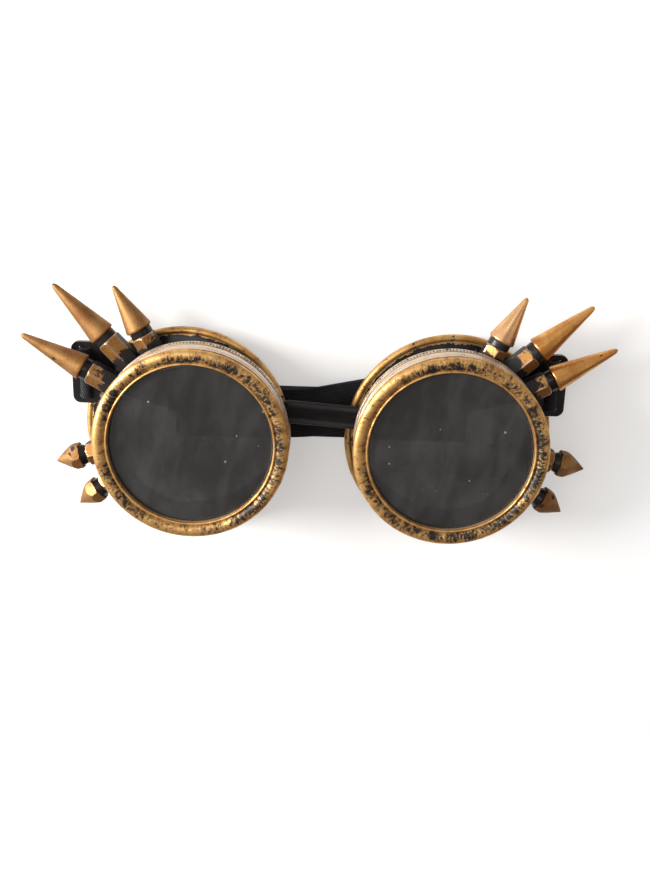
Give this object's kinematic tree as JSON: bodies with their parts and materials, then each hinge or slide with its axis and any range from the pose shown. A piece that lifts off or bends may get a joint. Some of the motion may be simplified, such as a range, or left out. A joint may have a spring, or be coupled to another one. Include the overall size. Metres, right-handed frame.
{
  "type": "steampunk goggles",
  "caption": "Round-eyecup goggles with screw-on bronze bezel rings, stacked lenses, radial cone spikes, a flexible nose bridge and a folded elastic head strap.",
  "frame": {"origin": "on the surface that the goggles lie on, midway between the two lens axes, on the underside of the folded strap", "axes": "+X towards the wearer's left cup as seen from the front (the image's right), +Y towards the forehead, +Z the way the lenses look"},
  "size_m": [0.184, 0.0808, 0.0316],
  "materials": {
    "cup_shell": "black moulded plastic, bronze rubbed on the rolled rim",
    "ring_bronze": "antique bronze, dark patina worn through on the high places",
    "smoke_lens": "smoke tint, polished",
    "gasket": "matt black rubber",
    "clear_lens": "clear, polished",
    "post_bronze": "antique bronze, rubbed bright on the edges",
    "collar_black": "black",
    "spike_bronze": "smooth antique bronze with dark pits",
    "screw_steel": "zinc plated",
    "bridge_rubber": "smooth black rubber with polished edge beads",
    "strap_elastic": "black woven elastic"
  },
  "bodies": {
    "left_cup": {"eyecup_left": "cup_shell", "spike_posts_left": "post_bronze", "spike_collars_left": "collar_black", "long_spikes_left": "spike_bronze", "medium_spike_left": "spike_bronze", "short_spikes_left": "spike_bronze", "spike_screws_left": "screw_steel", "bridge_strip": "bridge_rubber", "head_strap": "strap_elastic"},
    "right_cup": {"eyecup_right": "cup_shell", "spike_posts_right": "post_bronze", "spike_collars_right": "collar_black", "long_spikes_right": "spike_bronze", "medium_spike_right": "spike_bronze", "short_spikes_right": "spike_bronze", "spike_screws_right": "screw_steel"},
    "left_lenses": {"tinted_lens_left": "smoke_lens", "lens_spacer_left": "gasket", "clear_lens_left": "clear_lens"},
    "right_lenses": {"tinted_lens_right": "smoke_lens", "lens_spacer_right": "gasket", "clear_lens_right": "clear_lens"},
    "left_ring": {"bezel_ring_left": "ring_bronze"},
    "right_ring": {"bezel_ring_right": "ring_bronze"}
  },
  "joints": [
    {"name": "bridge_fold", "type": "hinge", "parent": "left_cup", "child": "right_cup", "pos_m": [0, 0.0056, 0.013], "axis": [0, 1, 0], "range_deg": [-40, 60], "deforming": ["bridge_strip", "head_strap"]},
    {"name": "lens_slide_left", "type": "slide", "parent": "left_cup", "child": "left_lenses", "axis": [0, 0, 1], "range_m": [0, 0.0071]},
    {"name": "ring_turn_left", "type": "hinge", "parent": "left_lenses", "child": "left_ring", "pos_m": [-0.0394, 0, 0.02], "axis": [0, 0, 1], "range_deg": [0, 720]},
    {"name": "lens_slide_right", "type": "slide", "parent": "right_cup", "child": "right_lenses", "axis": [0, 0, 1], "range_m": [0, 0.0071]},
    {"name": "ring_turn_right", "type": "hinge", "parent": "right_lenses", "child": "right_ring", "pos_m": [0.0394, 0, 0.02], "axis": [0, 0, 1], "range_deg": [0, 720]}
  ],
  "couplings": [
    {"joint": "lens_slide_left", "follows": "ring_turn_left", "m_per_rad": 0.000557},
    {"joint": "lens_slide_right", "follows": "ring_turn_right", "m_per_rad": 0.000557}
  ]
}
